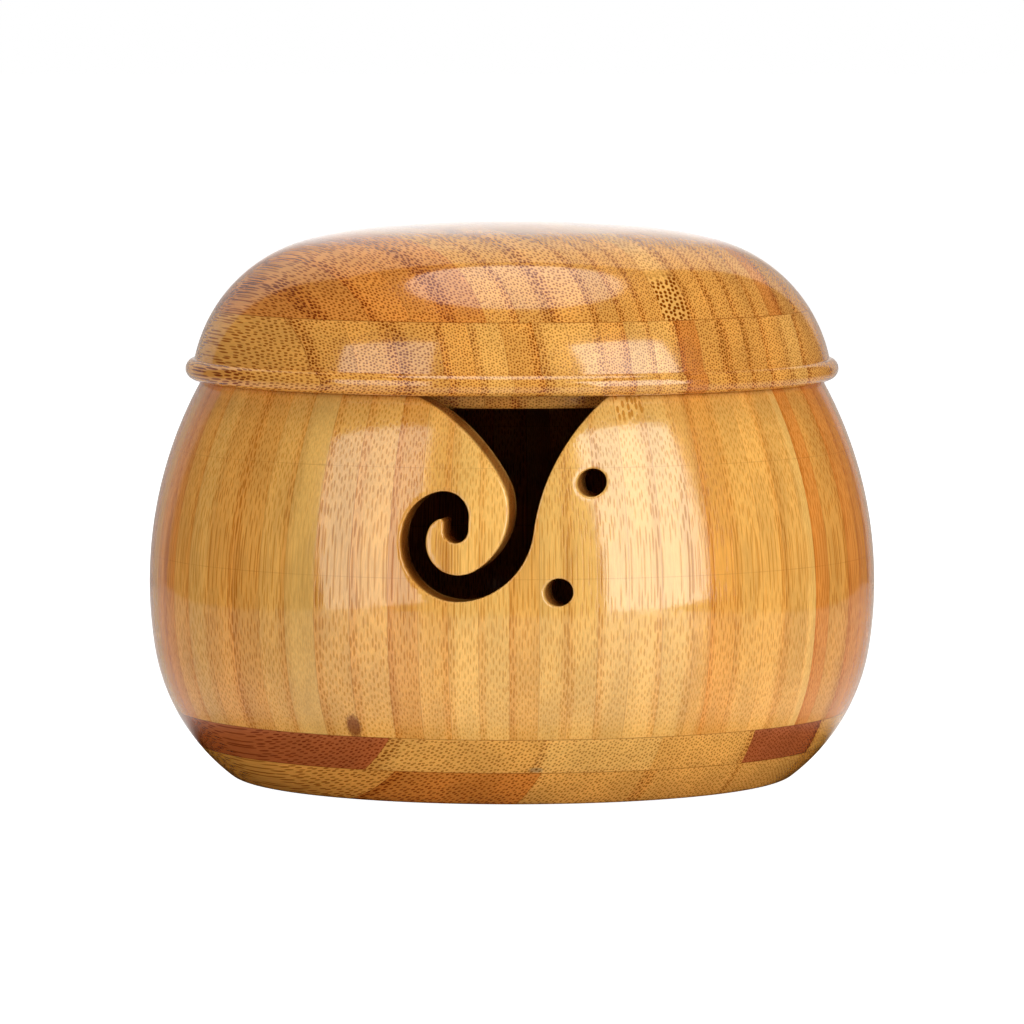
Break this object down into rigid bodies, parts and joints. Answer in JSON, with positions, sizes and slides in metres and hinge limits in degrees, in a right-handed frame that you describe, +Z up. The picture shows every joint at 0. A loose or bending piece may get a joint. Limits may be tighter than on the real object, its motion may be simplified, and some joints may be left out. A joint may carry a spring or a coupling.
{
  "type": "yarn bowl with lid",
  "caption": "Round turned bamboo yarn bowl with a domed lift-off lid, a curled yarn notch cut down from the rim and round yarn holes beside it.",
  "frame": {"origin": "bottom centre, on the turning axis", "axes": "+Z up along the turning axis, -Y towards the front with the yarn notch, +X to the right seen from the front"},
  "size_m": [0.15, 0.15, 0.1146],
  "materials": {
    "bamboo_wall": "glossy",
    "bamboo_lid": "glossy",
    "bamboo_strip": "glossy",
    "bamboo_strip_brown": "glossy",
    "bamboo_strip_red": "glossy"
  },
  "bodies": {
    "bowl": {"bottom_strip_1": "bamboo_strip", "bottom_strip_2": "bamboo_strip_red", "bottom_strip_3": "bamboo_strip", "bottom_strip_4": "bamboo_strip", "bottom_strip_5": "bamboo_strip", "bottom_strip_6": "bamboo_strip", "bottom_strip_7": "bamboo_strip", "base_strip_1": "bamboo_strip_brown", "base_strip_2": "bamboo_strip", "base_strip_3": "bamboo_strip", "base_strip_4": "bamboo_strip", "base_strip_5": "bamboo_strip_red", "base_strip_6": "bamboo_strip", "base_strip_7": "bamboo_strip", "wall_block_front": "bamboo_wall", "wall_block_front_right": "bamboo_wall", "wall_block_rear_right": "bamboo_wall", "wall_block_rear": "bamboo_wall", "wall_block_rear_left": "bamboo_wall", "wall_block_front_left": "bamboo_wall"},
    "lid": {"lid_lower_board": "bamboo_lid", "lid_upper_board": "bamboo_lid"}
  },
  "joints": [
    {"name": "lid_lift", "type": "slide", "parent": "bowl", "child": "lid", "axis": [0, 0, 1], "range_m": [0, 0.12]}
  ]
}
